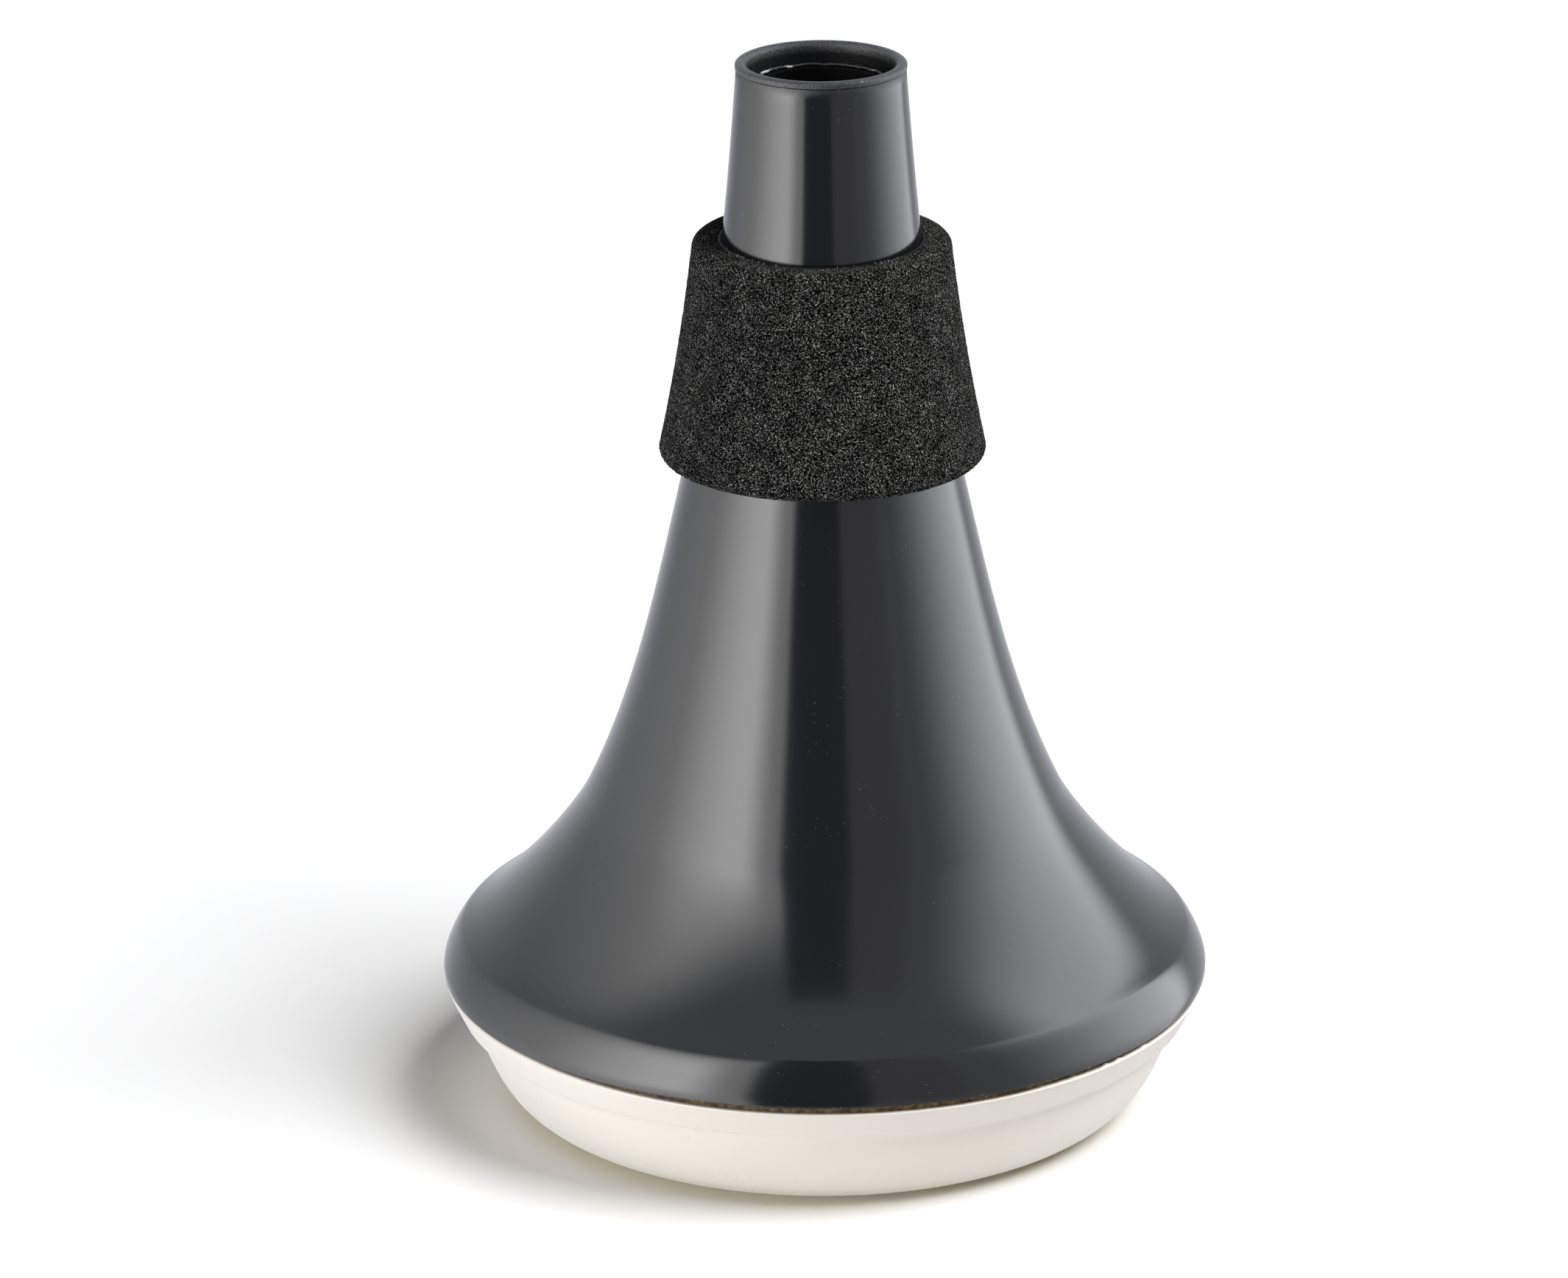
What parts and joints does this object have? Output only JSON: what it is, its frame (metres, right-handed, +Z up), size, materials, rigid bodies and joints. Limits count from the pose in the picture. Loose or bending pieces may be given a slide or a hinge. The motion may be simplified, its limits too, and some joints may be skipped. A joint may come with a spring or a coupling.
{
  "type": "trumpet practice mute",
  "caption": "Flared practice mute for a trumpet bell: hard shell with an air tube, a foam collar round its neck and a push-fit end cap that it stands on.",
  "frame": {"origin": "centre of the cap's flat bottom face, which the mute stands on", "axes": "+Z up the turning axis, from the cap to the tip; +X to the right in the picture's view, +Y away from it"},
  "size_m": [0.108, 0.108, 0.1506],
  "materials": {
    "ivory_abs": "glossy moulded, ivory",
    "gloss_black_abs": "glossy moulded, black",
    "grained_black_plastic": "fine grained, charcoal",
    "black_tube": "matt black",
    "black_foam": "cut closed-cell foam",
    "black_rubber": "smooth",
    "grey_foam": "open-cell foam",
    "grey_felt": "pressed wool felt",
    "brown_cork": "fine agglomerated cork",
    "clear_glue": "dried glue, milky"
  },
  "bodies": {
    "cap": {"base_cap": "ivory_abs", "rim_gasket": "brown_cork", "cap_felt_disc": "grey_felt"},
    "housing": {"body_shell": "gloss_black_abs", "tip_ring": "grained_black_plastic", "tip_glue_bead": "clear_glue", "inner_tube": "black_tube", "tube_felt_sleeve": "grey_felt", "flare_felt_lining": "grey_felt", "tube_foam_plug": "grey_foam", "tube_spider": "grained_black_plastic", "spider_pad_1": "grey_felt", "spider_pad_2": "grey_felt", "spider_pad_3": "grey_felt"},
    "collar": {"foam_collar": "black_foam", "collar_sleeve": "black_rubber"}
  },
  "joints": [
    {"name": "cap_pull", "type": "slide", "parent": "cap", "child": "housing", "axis": [0, 0, 1], "range_m": [0, 0.03]},
    {"name": "collar_slide", "type": "slide", "parent": "housing", "child": "collar", "axis": [0, 0, 1], "range_m": [0, 0.06]}
  ]
}
